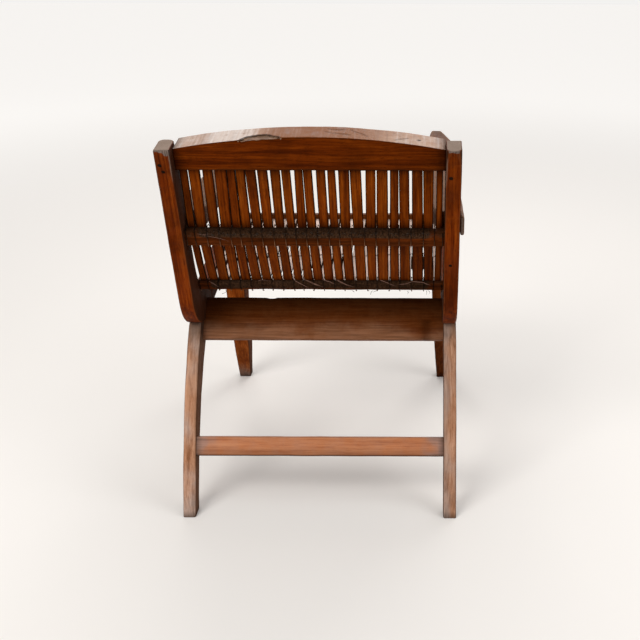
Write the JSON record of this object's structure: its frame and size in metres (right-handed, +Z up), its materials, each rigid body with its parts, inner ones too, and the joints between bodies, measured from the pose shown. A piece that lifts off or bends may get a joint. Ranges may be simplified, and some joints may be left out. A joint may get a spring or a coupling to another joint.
{
  "type": "plantation chair",
  "caption": "Low fixed easy chair with a sloping slatted back and seat laced to cross bars, sawn side frames, an arched crest rail and long arms that run out past the seat.",
  "frame": {"origin": "on the floor, midway across the chair and midway between the rear feet's rear edges and the arm tips", "axes": "+X to the sitter's right, which is the right of the picture, +Y towards the front of the chair, +Z up"},
  "size_m": [0.597, 0.961, 0.8087],
  "materials": {
    "slat_wood": "satin, dark reddish brown, worn",
    "frame_wood": "satin, dark oiled red brown",
    "rear_leg_wood": "matte, dusty pinkish tan",
    "front_leg_wood": "satin, red brown",
    "arm_wood": "satin, worn red brown",
    "crest_wood": "satin, dark brown with worn top",
    "apron_wood": "satin, dusty brown",
    "stretcher_wood": "satin, reddish brown",
    "bar_wood": "matte, black brown and dusty",
    "lacing_cord": "matte, thin twisted fibre cord",
    "peg_wood": "matte, nearly black"
  },
  "bodies": {
    "root": {"slat_01": "slat_wood", "slat_02": "slat_wood", "slat_03": "slat_wood", "slat_04": "slat_wood", "slat_05": "slat_wood", "slat_06": "slat_wood", "slat_07": "slat_wood", "slat_08": "slat_wood", "slat_09": "slat_wood", "slat_10": "slat_wood", "slat_11": "slat_wood", "slat_12": "slat_wood", "slat_13": "slat_wood", "slat_14": "slat_wood", "slat_15": "slat_wood", "slat_16": "slat_wood", "slat_17": "slat_wood", "slat_18": "slat_wood", "slat_19": "slat_wood", "slat_20": "slat_wood", "slat_21": "slat_wood", "slat_22": "slat_wood", "slat_23": "slat_wood", "back_post_left": "frame_wood", "back_post_right": "frame_wood", "seat_rail_left": "frame_wood", "seat_rail_right": "frame_wood", "rear_leg_left": "rear_leg_wood", "rear_leg_right": "rear_leg_wood", "front_leg_left": "front_leg_wood", "front_leg_right": "front_leg_wood", "arm_left": "arm_wood", "arm_right": "arm_wood", "crest_rail": "crest_wood", "apron_board": "apron_wood", "rear_stretcher": "stretcher_wood", "front_seat_rail": "stretcher_wood", "upper_back_bar": "bar_wood", "lower_back_bar": "bar_wood", "seat_bar": "bar_wood", "upper_lacing": "lacing_cord", "lower_lacing": "lacing_cord", "seat_lacing": "lacing_cord", "post_pegs": "peg_wood", "seat_frame_pegs": "peg_wood"}
  },
  "joints": []
}
